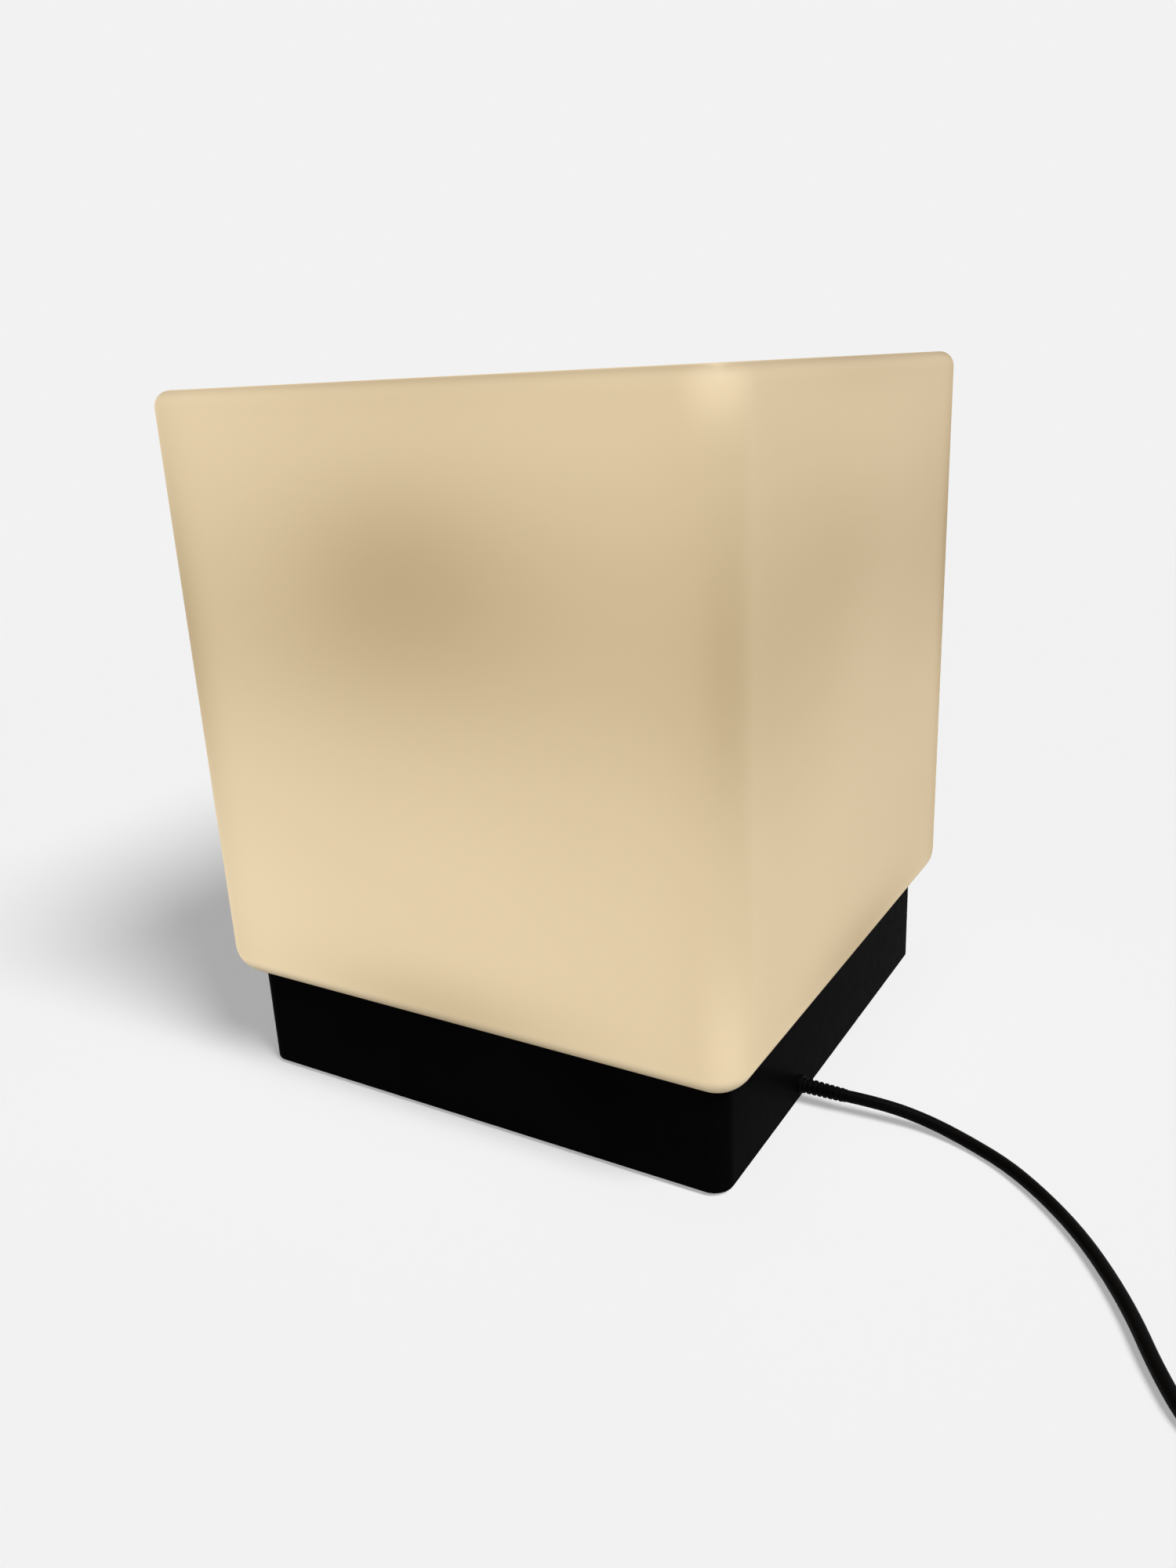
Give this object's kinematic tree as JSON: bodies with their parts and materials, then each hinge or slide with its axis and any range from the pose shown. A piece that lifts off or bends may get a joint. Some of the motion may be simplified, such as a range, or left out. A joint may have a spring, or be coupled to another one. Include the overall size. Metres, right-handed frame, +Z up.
{
  "type": "cube table light",
  "caption": "Hollow opal glass cube lit by LEDs, lifting off a black square base, with a mains lead, in-line rocker switch and two-pin plug.",
  "frame": {"origin": "on the table under the middle of the base", "axes": "+Z up; +X out of the side of the base that the mains lead leaves; -Y is the broad face in view"},
  "size_m": [0.4775, 0.3083, 0.296],
  "materials": {
    "opal_glass": "satin opal glass, lit from inside",
    "black_housing": "moulded, semi-gloss",
    "black_moulding": "moulded, fine grain",
    "seat_rubber": "matte silicone rubber",
    "foot_rubber": "matte",
    "ring_plastic": "moulded, matte white",
    "clear_lid": "clear polycarbonate",
    "heat_aluminium": "mill finish",
    "board_white": "white solder mask",
    "chip_yellow": "phosphor under clear resin",
    "connector_plastic": "moulded",
    "zinc_screw": "zinc plated",
    "driver_plastic": "moulded white",
    "circuit_board": "green solder mask",
    "ferrite": "matte ferrite and tape",
    "capacitor_sleeve": "shrunk sleeve",
    "terminal_plastic": "moulded",
    "brass": "plain",
    "cord_sheath": "smooth black sheath",
    "brown_core": "smooth insulation",
    "blue_core": "smooth insulation",
    "red_lead": "smooth insulation",
    "black_lead": "smooth insulation",
    "switch_plastic": "moulded, fine grain",
    "rocker_plastic": "moulded, glossy",
    "tie_plastic": "plain strap",
    "plug_plastic": "moulded, fine grain",
    "plug_nickel": "nickel plated"
  },
  "bodies": {
    "base": {"base_housing": "black_housing", "bottom_cover": "black_moulding", "cord_clamp": "black_moulding", "shade_gasket": "seat_rubber", "ring_pads": "seat_rubber", "rubber_feet": "foot_rubber", "shade_ring": "ring_plastic", "led_cover": "clear_lid", "heat_plate": "heat_aluminium", "led_board": "board_white", "led_chips": "chip_yellow", "board_connector": "connector_plastic", "ring_screws": "zinc_screw", "led_cover_screws": "zinc_screw", "board_screws": "zinc_screw", "bottom_screws": "zinc_screw", "driver_screws": "zinc_screw", "clamp_screws": "zinc_screw", "switch_screws": "zinc_screw", "driver_case": "driver_plastic", "driver_lid": "driver_plastic", "driver_board": "circuit_board", "driver_transformer": "ferrite", "driver_capacitor": "capacitor_sleeve", "terminal_block": "terminal_plastic", "terminal_screws": "brass", "switch_contacts": "brass", "power_cord": "cord_sheath", "switch_cord": "cord_sheath", "cord_coil": "cord_sheath", "plug_cord": "cord_sheath", "inner_jacket": "cord_sheath", "strain_relief": "cord_sheath", "plug_relief": "cord_sheath", "live_core": "brown_core", "neutral_core": "blue_core", "led_lead_red": "red_lead", "led_lead_black": "black_lead", "switch_base": "switch_plastic", "switch_cover": "switch_plastic", "coil_tie": "tie_plastic", "plug_body": "plug_plastic", "plug_pins": "plug_nickel"},
    "shade": {"shade": "opal_glass"},
    "rocker": {"switch_rocker": "rocker_plastic"}
  },
  "joints": [
    {"name": "shade_lift", "type": "slide", "parent": "base", "child": "shade", "axis": [0, 0, 1], "range_m": [0, 0.06]},
    {"name": "switch_rock", "type": "hinge", "parent": "base", "child": "rocker", "pos_m": [0.338, -0.084, 0.013], "axis": [1, 0, 0], "range_deg": [0, 16]}
  ]
}
